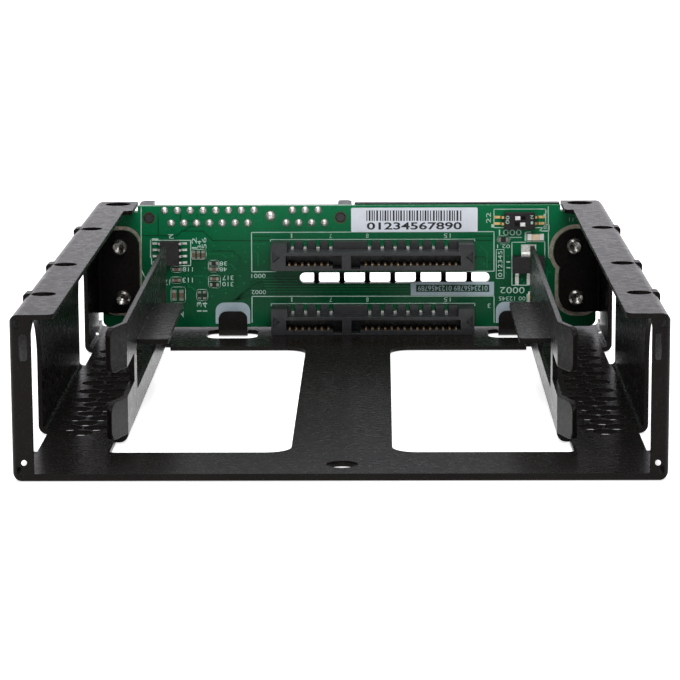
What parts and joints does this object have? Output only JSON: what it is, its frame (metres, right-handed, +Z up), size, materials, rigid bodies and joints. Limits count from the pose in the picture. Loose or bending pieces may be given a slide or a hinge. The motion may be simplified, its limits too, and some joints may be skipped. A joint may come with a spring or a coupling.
{
  "type": "drive enclosure",
  "caption": "Open folded-steel 3.5-inch frame that carries two stacked 2.5-inch drives in front of an upright backplane board with two drive sockets and a rear plug.",
  "frame": {"origin": "centre of the footprint on the underside of the floor, halfway between the front edge and the rear plug's mating face", "axes": "+X right, +Y from the open drive side to the rear plug, +Z up out of the open top"},
  "size_m": [0.1022, 0.1404, 0.0261],
  "materials": {
    "black_powder_coat": "satin fine-texture powder coat",
    "solder_mask": "green solder mask over fibreglass",
    "black_resin": "moulded connector resin",
    "chip_resin": "moulded chip package",
    "gold_contact": "gold plated spring contact",
    "solder": "tin solder",
    "tinned": "tinned lead",
    "screw_steel": "nickel plated screw",
    "white_nylon": "white nylon",
    "label_paper": "white label stock",
    "ceramic_tan": "ceramic chip part",
    "led_lens": "diffuse lens",
    "ferrite": "ferrite",
    "can_metal": "metal can"
  },
  "bodies": {
    "enclosure": {"chassis": "black_powder_coat", "rear_plate": "black_powder_coat", "backplane_board": "solder_mask", "ground_pads": "solder", "board_screws": "screw_steel", "lower_drive_socket": "black_resin", "upper_drive_socket": "black_resin", "lower_socket_contacts": "gold_contact", "upper_socket_contacts": "gold_contact", "lower_socket_tails": "tinned", "upper_socket_tails": "tinned", "rear_plug_housing": "black_resin", "rear_plug_contacts": "gold_contact", "rear_plug_solder": "solder", "plug_ground_pin": "solder", "mode_switch_body": "chip_resin", "mode_switch_leads": "gold_contact", "memory_chip": "chip_resin", "memory_chip_leads": "tinned", "voltage_regulator": "chip_resin", "voltage_regulator_leads": "tinned", "chip_capacitors": "ceramic_tan", "chip_resistors": "chip_resin", "chip_terminals": "solder", "activity_leds": "led_lens", "activity_led_terminals": "solder", "serial_label": "label_paper", "raid_controller_chip": "chip_resin", "raid_controller_leads": "tinned", "clock_crystal": "can_metal", "power_inductor": "ferrite"},
    "slider_1": {"mode_slider_1": "white_nylon"},
    "slider_2": {"mode_slider_2": "white_nylon"}
  },
  "joints": [
    {"name": "mode_1_slide", "type": "slide", "parent": "enclosure", "child": "slider_1", "axis": [1, 0, 0], "range_m": [0, 0.001]},
    {"name": "mode_2_slide", "type": "slide", "parent": "enclosure", "child": "slider_2", "axis": [1, 0, 0], "range_m": [-0.001, 0]}
  ]
}
